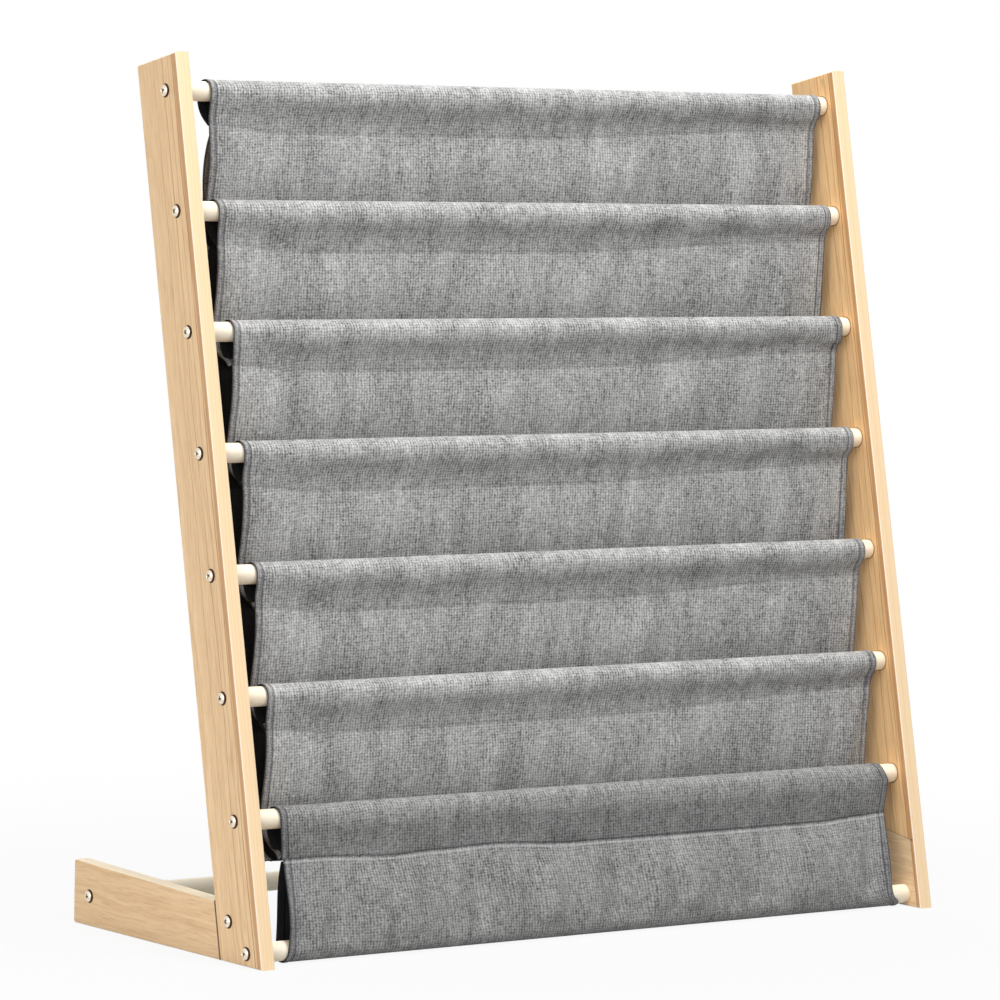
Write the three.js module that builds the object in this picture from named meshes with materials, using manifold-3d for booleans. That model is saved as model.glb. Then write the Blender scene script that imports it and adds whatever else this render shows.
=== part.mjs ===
// Sling bookshelf for children. Two pine uprights lean back on rail feet, round dowels cross between
// them, and a sewn cloth sling hangs over the dowels in a stack of open pockets.
// Millimetres, +Z up, the front faces -Y. The origin is on the floor, midway across the shelf and
// midway between the front of the uprights and the back of the feet.

import * as THREE from 'three';
import { mergeVertices } from 'three/addons/utils/BufferGeometryUtils.js';
import Module from 'manifold-3d';

// Boards
const shelfWidth = 950;
const boardThickness = 18;
const uprightWidth = 79;
const uprightLength = 1002;
const leanAngle = THREE.MathUtils.degToRad(11.7);
const arrisRadius = 2;
const arrisSteps = 3;

// Rail feet, lapped into the inner half of the uprights
const footReach = 382;
const footFrontHeight = 64;
const footRearHeight = 72.5;
const footCornerRadius = 3.5;
const lapLip = 6;
const lapFrontHeight = 79;
const lapRearHeight = 91;
const railOverlap = 9;
const jointGap = 0.3;

// Dowels
const dowelRadius = 11;
const dowelSides = 20;
const dowelCount = 8;
const dowelSetback = 26.5;
const topDowelDrop = 38;
const bottomDowelRise = 20;
const lowestSpacing = 143;
const stretcherInset = 33;
const stretcherHeight = 34;

// Screws with a domed head in a shallow counterbore
const headRadius = 7.3;
const headRim = 1;
const headCrown = 2;
const headSides = 12;
const crownSteps = 2;
const recessLength = 5.4;
const recessWidth = 1.5;
const recessDepth = 1.6;
const shankRadius = 3;
const shankTip = 2.5;
const counterboreDepth = 1.2;
const headClearance = 0.6;
const holeClearance = 0.3;
const dowelGrip = 32;
const lapGrip = 6.5;
const tipClearance = 1;
const jointScrewRise = 44.4;
const jointScrewEdge = 23.4;

// Cloth sling
const leftMargin = 30;
const rightMargin = 16;
const clothThickness = 1.6;
const clothGap = 0.3;
const sleeveGap = 0.6;
const seamDrop = 46.6;
const seamSetback = 3;
const lowestSeamDrop = 43.2;
const lowestSeamAdvance = 13.7;
const seamLineGap = 0.6;
const swellDepth = 5;
const backLayerSlack = 14;
const foldDepth = 2.2;
const foldWaves = 1.5;
const widthSteps = 6;
const panelSteps = 5;
const gatherSteps = 4;
const slackSteps = 8;
const arcStep = THREE.MathUtils.degToRad(26);

// Cutters reach this far past what they cut
const overrun = 10;

// Materials
const pine = { color: 0xdcb88c, roughness: 0.6, metalness: 0 };
const palePine = { color: 0xeed2a8, roughness: 0.6, metalness: 0 };
const steel = { color: 0xd6cbb8, roughness: 0.35, metalness: 0.8 };
const greyCloth = { color: 0x8b9196, roughness: 0.95, metalness: 0 };

const outerFace = shelfWidth / 2;
const innerFace = outerFace - boardThickness;
const boardMiddle = outerFace - boardThickness / 2;
const spacings = dowelCount - 2;
const dowelSpacing = (uprightLength - topDowelDrop - lowestSpacing - bottomDowelRise) / spacings;

// Outlines are drawn in Y and Z and extruded along X.
const axes = [new THREE.Vector3(0, 1, 0), new THREE.Vector3(0, 0, 1), new THREE.Vector3(1, 0, 0)];
const extrudedAlongX = new THREE.Matrix4().makeBasis(...axes);

const wasm = await Module();
wasm.setup();

const shelf = new THREE.Group();
shelf.name = 'sling_bookshelf';
shelf.position.y = -footReach / 2;

function addPiece(name, geometry, look) {
  const mesh = new THREE.Mesh(geometry, new THREE.MeshStandardMaterial(look));
  mesh.name = name;
  shelf.add(mesh);
  return mesh;
}

function toSolid(geometry) {
  const bare = geometry.clone();
  bare.deleteAttribute('normal');
  bare.deleteAttribute('uv');
  const merged = mergeVertices(bare);
  const vertProperties = new Float32Array(merged.attributes.position.array);
  const triVerts = new Uint32Array(merged.index.array);
  return new wasm.Manifold(new wasm.Mesh({ numProp: 3, vertProperties, triVerts }));
}

function toGeometry(solid) {
  const { vertProperties, triVerts } = solid.getMesh();
  const geometry = new THREE.BufferGeometry();
  geometry.setAttribute('position', new THREE.BufferAttribute(vertProperties, 3));
  geometry.setIndex(new THREE.BufferAttribute(triVerts, 1));
  geometry.computeVertexNormals();
  return geometry;
}

// A point on a leaning board: along its front edge from the floor, and back across its width.
function onBoard(along, across) {
  const y = along * Math.sin(leanAngle) + across * Math.cos(leanAngle);
  const z = along * Math.cos(leanAngle) - across * Math.sin(leanAngle);
  return new THREE.Vector2(y, z);
}

// The point at a given height on a line that runs up the board, that far back from its front edge.
function atHeight(height, across) {
  return new THREE.Vector2(height * Math.tan(leanAngle) + across / Math.cos(leanAngle), height);
}

// A side outline given a thickness between two X planes.
function plate(outline, fromX, toX, rounding = 0) {
  const low = Math.min(fromX, toX);
  const thickness = Math.abs(toX - fromX);
  const geometry = new THREE.ExtrudeGeometry(outline, {
    depth: thickness - 2 * rounding,
    bevelEnabled: rounding > 0,
    bevelThickness: rounding,
    bevelSize: rounding,
    bevelOffset: -rounding,
    bevelSegments: arrisSteps,
    curveSegments: arrisSteps,
  });
  geometry.translate(0, 0, low + rounding);
  return geometry.applyMatrix4(extrudedAlongX);
}

function roundCutter(radius, fromX, toX, place) {
  const geometry = new THREE.CylinderGeometry(radius, radius, Math.abs(toX - fromX), headSides);
  geometry.rotateZ(Math.PI / 2);
  return geometry.translate((fromX + toX) / 2, place.x, place.y);
}

// Where the dowels cross, from the top one down, as Y and Z.
function dowelPlaces() {
  const places = [];
  let along = uprightLength - topDowelDrop;
  for (let n = 1; n <= dowelCount; n += 1) {
    places.push(onBoard(along, dowelSetback));
    along -= n <= spacings ? dowelSpacing : lowestSpacing;
  }
  return places;
}

const dowels = dowelPlaces();
const stretcher = new THREE.Vector2(footReach - stretcherInset, stretcherHeight);
const jointScrew = atHeight(jointScrewRise, uprightWidth);
jointScrew.x -= jointScrewEdge;

// A screw's hole from the outer face inwards, with the counterbore that its head sits in.
function screwHole(place, side, deepX) {
  const outside = side * (outerFace + overrun);
  const hole = roundCutter(shankRadius + holeClearance, outside, side * deepX, place);
  const seat = side * (outerFace - counterboreDepth);
  const counterbore = roundCutter(headRadius + headClearance, outside, seat, place);
  return toSolid(hole).add(toSolid(counterbore));
}

// The lap joint, seen from the side: a tapered tongue that stops short of the upright's front edge.
function lapOutline(gap, back, below) {
  const frontTop = atHeight(lapFrontHeight, lapLip);
  const rearTop = atHeight(lapRearHeight, uprightWidth);
  const slope = (rearTop.y - frontTop.y) / (rearTop.x - frontTop.x);
  const outline = new THREE.Shape();
  outline.moveTo(atHeight(-below, lapLip).x - gap, -below);
  outline.lineTo(rearTop.x + back, -below);
  outline.lineTo(rearTop.x + back, rearTop.y + gap + slope * back);
  outline.lineTo(frontTop.x - gap, frontTop.y + gap);
  return outline;
}

function uprightBlank(side) {
  const outline = new THREE.Shape();
  const corners = [
    new THREE.Vector2(0, 0),
    atHeight(0, uprightWidth),
    onBoard(uprightLength, uprightWidth),
    onBoard(uprightLength, 0),
  ];
  outline.setFromPoints(corners);
  return toSolid(plate(outline, side * innerFace, side * outerFace, arrisRadius));
}

function upright(side) {
  let board = uprightBlank(side);
  const beyond = side * (innerFace - overrun);
  const lap = plate(lapOutline(jointGap, overrun, overrun), beyond, side * boardMiddle);
  board = board.subtract(toSolid(lap));
  for (const place of dowels) {
    board = board.subtract(screwHole(place, side, innerFace - overrun));
  }
  return toGeometry(board.subtract(screwHole(jointScrew, side, innerFace - overrun)));
}

// The rail behind the upright, a little taller at its back end, with its back corners rounded.
function railOutline() {
  const start = uprightWidth - railOverlap;
  const radius = footCornerRadius;
  const outline = new THREE.Shape();
  outline.moveTo(atHeight(0, start).x, 0);
  outline.lineTo(footReach - radius, 0);
  outline.absarc(footReach - radius, radius, radius, -Math.PI / 2, 0, false);
  outline.lineTo(footReach, footRearHeight - radius);
  outline.absarc(footReach - radius, footRearHeight - radius, radius, 0, Math.PI / 2, false);
  outline.lineTo(atHeight(footFrontHeight, start).x, footFrontHeight);
  return outline;
}

function foot(side) {
  const tongueFace = side * (boardMiddle - jointGap);
  const beyond = side * (innerFace - overrun);
  const outside = side * (outerFace + overrun);
  const lap = toSolid(plate(lapOutline(0, overrun, overrun), beyond, tongueFace));
  const tongue = uprightBlank(side).intersect(lap);
  const shoulder = new THREE.Shape();
  shoulder.setFromPoints([
    atHeight(-overrun, 0),
    atHeight(-overrun, uprightWidth + jointGap),
    atHeight(lapRearHeight, uprightWidth + jointGap),
    atHeight(lapRearHeight, 0),
  ]);
  const rail = toSolid(plate(railOutline(), side * innerFace, side * outerFace, arrisRadius));
  let body = rail.subtract(toSolid(plate(shoulder, outside, tongueFace))).add(tongue);
  body = body.subtract(screwHole(stretcher, side, innerFace - overrun));
  body = body.subtract(screwHole(dowels[dowelCount - 1], side, innerFace - overrun));
  const lapHoleEnd = boardMiddle - jointGap - lapGrip - tipClearance;
  return toGeometry(body.subtract(screwHole(jointScrew, side, lapHoleEnd)));
}

// A round dowel that butts against both boards, with a pilot hole for a screw in each end.
function dowelGeometry() {
  const end = innerFace - jointGap;
  const holeRadius = shankRadius + holeClearance;
  const holeEnd = end - dowelGrip - tipClearance;
  const profile = [
    new THREE.Vector2(0, -holeEnd),
    new THREE.Vector2(holeRadius, -holeEnd),
    new THREE.Vector2(holeRadius, -end),
    new THREE.Vector2(dowelRadius, -end),
    new THREE.Vector2(dowelRadius, end),
    new THREE.Vector2(holeRadius, end),
    new THREE.Vector2(holeRadius, holeEnd),
    new THREE.Vector2(0, holeEnd),
  ];
  return new THREE.LatheGeometry(profile, dowelSides).rotateZ(-Math.PI / 2);
}

// A screw along +X, its head's seat at X = 0 and the head towards +X, with a cross recess.
function screwGeometry(shankLength) {
  const profile = [
    new THREE.Vector2(0, -shankLength),
    new THREE.Vector2(shankRadius, shankTip - shankLength),
    new THREE.Vector2(shankRadius, 0),
    new THREE.Vector2(headRadius, 0),
  ];
  for (let n = 0; n <= crownSteps; n += 1) {
    const turn = (n / crownSteps) * (Math.PI / 2);
    const radius = n < crownSteps ? headRadius * Math.cos(turn) : 0;
    profile.push(new THREE.Vector2(radius, headRim + headCrown * Math.sin(turn)));
  }
  const body = toSolid(new THREE.LatheGeometry(profile, headSides));
  const recessMiddle = headRim + headCrown - recessDepth + (recessDepth + overrun) / 2;
  const slot = new THREE.BoxGeometry(recessLength, recessDepth + overrun, recessWidth);
  slot.translate(0, recessMiddle, 0);
  const crossSlot = slot.clone().rotateY(Math.PI / 2);
  const screw = body.subtract(toSolid(slot).add(toSolid(crossSlot)));
  return toGeometry(screw).rotateZ(-Math.PI / 2);
}

// Where the two plies of a sleeve are sewn together below its dowel.
function seamPlace(index) {
  const lowest = index === spacings;
  const y = dowels[index].x + (lowest ? -lowestSeamAdvance : seamSetback);
  const z = dowels[index].y - (lowest ? lowestSeamDrop : seamDrop);
  return new THREE.Vector2(y, z);
}

const plyPitch = clothThickness + clothGap;
const plyOffset = plyPitch / 2;
const sleeveRadius = dowelRadius + sleeveGap + clothThickness / 2;

// The angle, seen from a dowel's axis, at which cloth from a point meets the sleeve's round.
function tangentAngle(centre, point, turn) {
  const towards = new THREE.Vector2().subVectors(point, centre);
  return towards.angle() + turn * Math.acos(sleeveRadius / towards.length());
}

function arcPoints(centre, radius, fromAngle, toAngle) {
  const steps = Math.ceil(Math.abs(toAngle - fromAngle) / arcStep);
  const points = [];
  for (let n = 0; n <= steps; n += 1) {
    const angle = THREE.MathUtils.lerp(fromAngle, toAngle, n / steps);
    const spoke = new THREE.Vector2(Math.cos(angle), Math.sin(angle));
    points.push(spoke.multiplyScalar(radius).add(centre));
  }
  return points;
}

// Points down a panel between its two ends, at one place along X. It swells forward from the
// straight line, in soft upright folds.
function panelPoints(top, bottom, swell, x, phaseShare) {
  const turns = (foldWaves * x) / shelfWidth + phaseShare;
  const forward = swell + foldDepth * Math.cos(2 * Math.PI * turns);
  const points = [];
  for (let n = 0; n <= panelSteps; n += 1) {
    const down = n / panelSteps;
    const point = new THREE.Vector2().lerpVectors(top, bottom, down);
    point.x -= forward * Math.sin(Math.PI * down) ** 2;
    points.push(point);
  }
  return points;
}

// Cloth up the back of a dowel, over it and down its front, from the seam to the seam again.
function sleevePoints(index) {
  const centre = dowels[index];
  const seam = seamPlace(index);
  const rearPly = new THREE.Vector2(seam.x + plyOffset, seam.y);
  const frontPly = new THREE.Vector2(seam.x - plyOffset, seam.y);
  const rearAngle = tangentAngle(centre, rearPly, 1) - 2 * Math.PI;
  const frontAngle = tangentAngle(centre, frontPly, -1);
  return [rearPly, ...arcPoints(centre, sleeveRadius, rearAngle, frontAngle), frontPly];
}

// A line of cloth given its thickness: the outline runs along one face and back along the other.
function ribbonOutline(points) {
  const runs = points.slice(1).map((point, n) => point.clone().sub(points[n]).normalize());
  const offsets = points.map((point, n) => {
    const before = runs[Math.max(n - 1, 0)];
    const after = runs[Math.min(n, runs.length - 1)];
    const along = before.clone().add(after).normalize();
    const reach = clothThickness / 2 / along.dot(before);
    return new THREE.Vector2(along.y, -along.x).multiplyScalar(reach);
  });
  const oneFace = points.map((point, n) => point.clone().add(offsets[n]));
  const otherFace = points.map((point, n) => point.clone().sub(offsets[n]));
  return [...oneFace, ...otherFace.reverse()];
}

// A sheet of cloth across the shelf. The outlines of its line at even steps along X are joined by
// strips, and each end is closed between the two faces.
function clothGeometry(lineAt) {
  const positions = [];
  const triangles = [];
  const addQuad = (a, b, c, d) => triangles.push(a, b, c, a, c, d);
  for (let step = 0; step <= widthSteps; step += 1) {
    const across = step / widthSteps;
    const x = THREE.MathUtils.lerp(leftMargin - innerFace, innerFace - rightMargin, across);
    ribbonOutline(lineAt(x)).forEach((point) => positions.push(x, point.x, point.y));
  }
  const around = positions.length / 3 / (widthSteps + 1);
  const last = widthSteps * around;
  for (let start = 0; start < last; start += around) {
    for (let n = 0; n < around; n += 1) {
      const next = (n + 1) % around;
      addQuad(start + n, start + next, start + around + next, start + around + n);
    }
  }
  for (let n = 0; n < around / 2 - 1; n += 1) {
    const mate = around - 1 - n;
    addQuad(n, mate, mate - 1, n + 1);
    addQuad(last + n, last + n + 1, last + mate - 1, last + mate);
  }
  const geometry = new THREE.BufferGeometry();
  geometry.setAttribute('position', new THREE.Float32BufferAttribute(positions, 3));
  geometry.setIndex(triangles);
  geometry.computeVertexNormals();
  return geometry;
}

// The back wall of a pocket: it hangs from the seam above to the level of the next dowel and comes
// forward from there to that dowel's seam, where it is sewn to the back of the sleeve.
function pocketWall(index) {
  const seamAbove = seamPlace(index);
  const seam = seamPlace(index + 1);
  const top = new THREE.Vector2(seamAbove.x - plyOffset, seamAbove.y - seamLineGap);
  const level = new THREE.Vector2(top.x, dowels[index + 1].y);
  const meets = new THREE.Vector2(seam.x + plyOffset + plyPitch + seamLineGap, seam.y);
  const bend = new THREE.Vector2(top.x, (level.y + meets.y) / 2);
  const gather = new THREE.QuadraticBezierCurve(level, bend, meets).getPoints(gatherSteps);
  return clothGeometry((x) => [
    ...panelPoints(top, level, swellDepth, x, index / dowelCount),
    ...gather.slice(1),
  ]);
}

// Where the back layer is caught in each seam, behind all the other plies.
function caughtPlace(index) {
  const seam = seamPlace(index);
  const plies = index > 0 ? 2 * (plyPitch + seamLineGap) : 0;
  return new THREE.Vector2(seam.x + plyOffset + plies, seam.y - plyPitch);
}

// The back layer runs down behind all the pockets. It is caught in each seam and slack between them.
function backLayer() {
  const points = [caughtPlace(0)];
  for (let index = 0; index < spacings; index += 1) {
    const from = caughtPlace(index);
    const to = caughtPlace(index + 1);
    const slackY = seamPlace(index).x + 2 * backLayerSlack;
    const upper = new THREE.Vector2(slackY, THREE.MathUtils.lerp(from.y, to.y, 1 / 4));
    const lower = new THREE.Vector2(slackY, (dowels[index + 1].y + to.y) / 2);
    const line = new THREE.CubicBezierCurve(from, upper, lower, to);
    points.push(...line.getPoints(slackSteps).slice(1));
  }
  return clothGeometry(() => points);
}

// The lowest panel is one long sleeve. Its front ply hangs from the last seam to the bottom dowel,
// passes beneath it, and comes up behind it to the seam again as the rear ply.
function bottomPanel() {
  const seam = seamPlace(spacings);
  const bottom = dowels[dowelCount - 1];
  const front = new THREE.Vector2(seam.x - plyOffset, seam.y - seamLineGap);
  const caught = caughtPlace(spacings);
  const rear = new THREE.Vector2(caught.x, caught.y - clothThickness);
  const frontAngle = tangentAngle(bottom, front, 1);
  const rearAngle = tangentAngle(bottom, rear, -1) + 2 * Math.PI;
  const [meets, ...round] = arcPoints(bottom, sleeveRadius, frontAngle, rearAngle);
  return clothGeometry((x) => [...panelPoints(front, meets, 0, x, 0), ...round, rear]);
}

function addDowel(name, place) {
  const mesh = addPiece(name, dowelShape, palePine);
  mesh.position.set(0, place.x, place.y);
}

function addScrew(name, geometry, place, side) {
  const mesh = addPiece(name, geometry, steel);
  const seat = outerFace - counterboreDepth + jointGap;
  mesh.position.set(side * seat, place.x, place.y);
  mesh.rotation.z = side > 0 ? 0 : Math.PI;
}

const dowelShape = dowelGeometry();
const dowelScrew = screwGeometry(boardThickness - counterboreDepth + 2 * jointGap + dowelGrip);
const lapScrew = screwGeometry(boardThickness / 2 - counterboreDepth + 2 * jointGap + lapGrip);

for (const [sideName, side] of [['left', -1], ['right', 1]]) {
  addPiece(`upright_${sideName}`, upright(side), pine);
  addPiece(`foot_${sideName}`, foot(side), pine);
  dowels.forEach((place, n) => addScrew(`screw_${sideName}_${n + 1}`, dowelScrew, place, side));
  addScrew(`stretcher_screw_${sideName}`, dowelScrew, stretcher, side);
  addScrew(`joint_screw_${sideName}`, lapScrew, jointScrew, side);
}
dowels.forEach((place, n) => addDowel(`dowel_${n + 1}`, place));
addDowel('rear_stretcher', stretcher);

for (let n = 0; n <= spacings; n += 1) {
  addPiece(`sling_sleeve_${n + 1}`, clothGeometry(() => sleevePoints(n)), greyCloth);
}
for (let n = 0; n < spacings; n += 1) {
  addPiece(`sling_pocket_${n + 1}`, pocketWall(n), greyCloth);
}
addPiece('sling_bottom_panel', bottomPanel(), greyCloth);
addPiece('sling_back_layer', backLayer(), greyCloth);

export default shelf;
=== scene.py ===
# Sling bookshelf: leaning pine uprights on rail feet, round dowels, and a grey woven sling that
# hangs over the dowels in open pockets. Metres, +Z up, the front faces -Y.
import math

import bpy
import numpy as np
from mathutils import Matrix, Vector


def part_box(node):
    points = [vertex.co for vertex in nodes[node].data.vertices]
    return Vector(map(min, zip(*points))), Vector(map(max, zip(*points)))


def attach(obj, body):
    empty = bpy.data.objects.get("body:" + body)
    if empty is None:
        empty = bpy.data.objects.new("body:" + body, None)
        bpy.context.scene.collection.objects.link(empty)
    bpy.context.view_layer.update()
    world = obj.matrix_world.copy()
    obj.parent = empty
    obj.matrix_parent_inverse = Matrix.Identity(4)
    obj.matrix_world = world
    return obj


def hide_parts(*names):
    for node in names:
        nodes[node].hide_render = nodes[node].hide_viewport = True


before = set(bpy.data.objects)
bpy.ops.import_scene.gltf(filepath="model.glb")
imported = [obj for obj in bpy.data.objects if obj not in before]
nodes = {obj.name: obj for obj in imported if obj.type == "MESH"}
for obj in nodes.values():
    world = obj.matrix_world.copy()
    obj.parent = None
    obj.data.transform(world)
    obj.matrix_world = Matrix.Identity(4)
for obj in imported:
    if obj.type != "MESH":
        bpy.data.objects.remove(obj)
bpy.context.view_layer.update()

scene = bpy.context.scene
scene.view_settings.view_transform = "Standard"


def addObject(name, mesh):
    thing = bpy.data.objects.new(name, mesh)
    scene.collection.objects.link(thing)
    return thing


def meshFrom(name, points, faces):
    mesh = bpy.data.meshes.new(name)
    mesh.from_pydata([tuple(p) for p in points], [], faces)
    mesh.update()
    return mesh


def shadeSmooth(mesh, angle=None):
    for face in mesh.polygons:
        face.use_smooth = True
    if angle is not None:
        mesh.set_sharp_from_angle(angle=math.radians(angle))


def rideRoot(piece):
    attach(piece, "root")


# Feeds a node's socket from another socket, or sets its value
def wire(tree, source, target):
    if isinstance(source, bpy.types.NodeSocket):
        tree.links.new(source, target)
    else:
        target.default_value = source


# Adds a node. Its inputs are values, or the sockets that feed them.
def addNode(tree, kind, inputs=None, **settings):
    made = tree.nodes.new(kind)
    for key, value in settings.items():
        setattr(made, key, value)
    for key, value in (inputs or {}).items():
        wire(tree, value, made.inputs[key])
    return made


def emptyTree(holder):
    holder.use_nodes = True
    holder.node_tree.nodes.clear()
    return holder.node_tree


camera = {
    "place": (-3.5981, -4.8249, 0.9287),
    "yaw": 36.479,      # from +Y towards +X
    "pitch": -4.269,
    "roll": 1.310,
    "lens": 189.40,
    "sensor": 36,
    "farthest": 100,
}


def makeCamera():
    yaw, pitch, roll = (math.radians(camera[key]) for key in ("yaw", "pitch", "roll"))
    ahead = Vector((math.sin(yaw) * math.cos(pitch), math.cos(yaw) * math.cos(pitch), math.sin(pitch)))
    level = Vector((math.cos(yaw), -math.sin(yaw), 0))
    upward = level.cross(ahead)
    right = math.cos(roll) * level + math.sin(roll) * upward
    top = -math.sin(roll) * level + math.cos(roll) * upward
    data = bpy.data.cameras.new("photoCamera")
    data.sensor_width = camera["sensor"]
    data.lens = camera["lens"]
    data.clip_end = camera["farthest"]
    thing = bpy.data.objects.new("photoCamera", data)
    turn = Matrix((right, top, -ahead)).transposed().to_4x4()
    thing.matrix_world = Matrix.Translation(camera["place"]) @ turn
    scene.collection.objects.link(thing)
    scene.camera = thing


stage = {
    "floorSize": 60.0,
    "floorWhite": 0.50,
    "glowNear": 0.92,       # how much of the seen floor is plain white, under the shelf
    "glowFar": 1.0,
    "glowReach": (0.35, 1.6),
    "worldLight": 0.22,
}

lamps = {
    "highLamp": {"place": (0.5, -2.3, 3.9), "aim": (0.0, 0.0, 0.45), "size": 1.5, "watts": 92},
    "leftLamp": {"place": (-3.2, -1.2, 1.4), "aim": (0.0, 0.0, 0.5), "size": 2.4, "watts": 46},
    "nearLamp": {"place": (-3.2, -3.8, 1.6), "aim": (0.0, 0.0, 0.45), "size": 2.0, "watts": 36},
    "topLamp": {"place": (0.1, -0.4, 3.6), "aim": (0.0, 0.0, 0.4), "size": 1.2, "watts": 58},
    "backLamp": {"place": (0.6, 2.4, 3.3), "aim": (0.0, 0.0, 0.6), "size": 1.5, "watts": 45},
}


# 1 for rays from the camera, in mirrors and through glass
def viewMask(tree):
    path = addNode(tree, "ShaderNodeLightPath")
    mask = path.outputs["Is Camera Ray"]
    for ray in ("Is Glossy Ray", "Is Transmission Ray"):
        most = addNode(tree, "ShaderNodeMath", {0: mask, 1: path.outputs[ray]}, operation="MAXIMUM")
        mask = most.outputs[0]
    return mask


def makeFloor():
    half = stage["floorSize"] / 2
    corners = [(-half, -half, 0), (half, -half, 0), (half, half, 0), (-half, half, 0)]
    mesh = meshFrom("studioFloor", corners, [(0, 1, 2, 3)])
    floor = addObject("studioFloor", mesh)
    look = bpy.data.materials.new("floorPaper")
    tree = emptyTree(look)
    paper = addNode(tree, "ShaderNodeBsdfDiffuse", {"Color": (stage["floorWhite"],) * 3 + (1,)})
    glow = addNode(tree, "ShaderNodeEmission", {"Color": (1, 1, 1, 1)})
    place = addNode(tree, "ShaderNodeTexCoord").outputs["Object"]
    away = addNode(tree, "ShaderNodeVectorMath", {0: place}, operation="LENGTH").outputs["Value"]
    near, far = stage["glowReach"]
    reach = {"Value": away, "From Min": near, "From Max": far}
    glows = {"To Min": stage["glowNear"], "To Max": stage["glowFar"]}
    fade = addNode(tree, "ShaderNodeMapRange", reach | glows, interpolation_type="SMOOTHSTEP")
    share = addNode(tree, "ShaderNodeMath", {0: viewMask(tree), 1: fade.outputs[0]}, operation="MULTIPLY")
    shares = {0: share.outputs[0], 1: paper.outputs[0], 2: glow.outputs[0]}
    mix = addNode(tree, "ShaderNodeMixShader", shares)
    addNode(tree, "ShaderNodeOutputMaterial", {"Surface": mix.outputs[0]})
    mesh.materials.append(look)


def makeWorld():
    world = bpy.data.worlds.new("softRoom")
    scene.world = world
    tree = emptyTree(world)
    lit, seen = (
        addNode(tree, "ShaderNodeBackground", {"Color": (1, 1, 1, 1), "Strength": strength}).outputs[0]
        for strength in (stage["worldLight"], 1.0)
    )
    mix = addNode(tree, "ShaderNodeMixShader", {0: viewMask(tree), 1: lit, 2: seen})
    addNode(tree, "ShaderNodeOutputWorld", {"Surface": mix.outputs[0]})


def makeLamps():
    for name, spot in lamps.items():
        data = bpy.data.lights.new(name, "AREA")
        data.shape = "SQUARE"
        data.size = spot["size"]
        data.energy = spot["watts"]
        lamp = bpy.data.objects.new(name, data)
        lamp.location = spot["place"]
        lamp.rotation_mode = "QUATERNION"
        toward = Vector(spot["aim"]) - Vector(spot["place"])
        lamp.rotation_quaternion = toward.to_track_quat("-Z", "Y")
        scene.collection.objects.link(lamp)


makeCamera()
makeFloor()
makeWorld()
makeLamps()
print("stage: camera, floor and lamps")


# Short calls for building a material's nodes
class Finish:
    def __init__(self, name):
        self.look = bpy.data.materials.new(name)
        self.look.use_nodes = True
        self.tree = self.look.node_tree
        self.shader = self.tree.nodes["Principled BSDF"]

    def node(self, kind, inputs=None, **settings):
        return addNode(self.tree, kind, inputs, **settings)

    # Sets or feeds the shader's own inputs
    def surface(self, inputs):
        for key, value in inputs.items():
            wire(self.tree, value, self.shader.inputs[key])

    def place(self):
        return self.node("ShaderNodeTexCoord").outputs["Object"]

    # The two numbers of one of the mesh's UV maps
    def uvParts(self, name):
        vector = self.node("ShaderNodeUVMap", uv_map=name).outputs[0]
        parts = self.node("ShaderNodeSeparateXYZ", {0: vector})
        return parts.outputs[0], parts.outputs[1]

    def math(self, operation, a, b=0.0, c=0.0):
        return self.node("ShaderNodeMath", {0: a, 1: b, 2: c}, operation=operation).outputs[0]

    def chain(self, operation, values):
        total = values[0]
        for value in values[1:]:
            total = self.math(operation, total, value)
        return total

    def add(self, *values):
        return self.chain("ADD", values)

    def times(self, *values):
        return self.chain("MULTIPLY", values)

    def join(self, x=0.0, y=0.0, z=0.0):
        return self.node("ShaderNodeCombineXYZ", {0: x, 1: y, 2: z}).outputs[0]

    def dot(self, vector, direction):
        inputs = {0: vector, 1: direction}
        return self.node("ShaderNodeVectorMath", inputs, operation="DOT_PRODUCT").outputs["Value"]

    def mapping(self, vector, scale=(1, 1, 1), shift=(0, 0, 0)):
        inputs = {"Vector": vector, "Scale": scale, "Location": shift}
        return self.node("ShaderNodeMapping", inputs).outputs[0]

    def noise(self, vector, detail=2.0, rough=0.5):
        inputs = {"Vector": vector, "Scale": 1.0, "Detail": detail, "Roughness": rough}
        return self.node("ShaderNodeTexNoise", inputs).outputs[0]

    def lineNoise(self, value, detail=2.0, rough=0.5):
        inputs = {"W": value, "Scale": 1.0, "Detail": detail, "Roughness": rough}
        return self.node("ShaderNodeTexNoise", inputs, noise_dimensions="1D").outputs[0]

    def stretch(self, value, low, high, outLow=0.0, outHigh=1.0, smooth=False):
        inputs = {"Value": value, "From Min": low, "From Max": high, "To Min": outLow, "To Max": outHigh}
        kind = "SMOOTHSTEP" if smooth else "LINEAR"
        return self.node("ShaderNodeMapRange", inputs, interpolation_type=kind).outputs[0]

    # 1 within half a width of the middle, easing to 0 over the soft distance
    def line(self, value, middle, width, soft):
        off = self.math("ABSOLUTE", self.math("SUBTRACT", value, middle))
        return self.stretch(off, width / 2, width / 2 + soft, 1.0, 0.0, True)

    def mix(self, share, a, b, blend="MIX"):
        inputs = {0: share, 6: a, 7: b}
        return self.node("ShaderNodeMix", inputs, data_type="RGBA", blend_type=blend).outputs[2]

    # Lays a tone over the colour by a share of the mask
    def tint(self, colour, mask, share, tone):
        return self.mix(self.times(mask, share), colour, paint(*tone))

    def shaded(self, colour, shade):
        return self.mix(1.0, colour, self.join(shade, shade, shade), "MULTIPLY")

    def bump(self, height, distance, strength=1.0):
        made = self.node("ShaderNodeBump", {"Height": height, "Strength": strength, "Distance": distance})
        self.surface({"Normal": made.outputs[0]})


# A colour as the eye reads it, 0 to 255, made linear
def paint(*levels):
    shares = [level / 255 for level in levels]
    linear = [v / 12.92 if v <= 0.04045 else ((v + 0.055) / 1.055) ** 2.4 for v in shares]
    return tuple(linear) + (1.0,)


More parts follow.
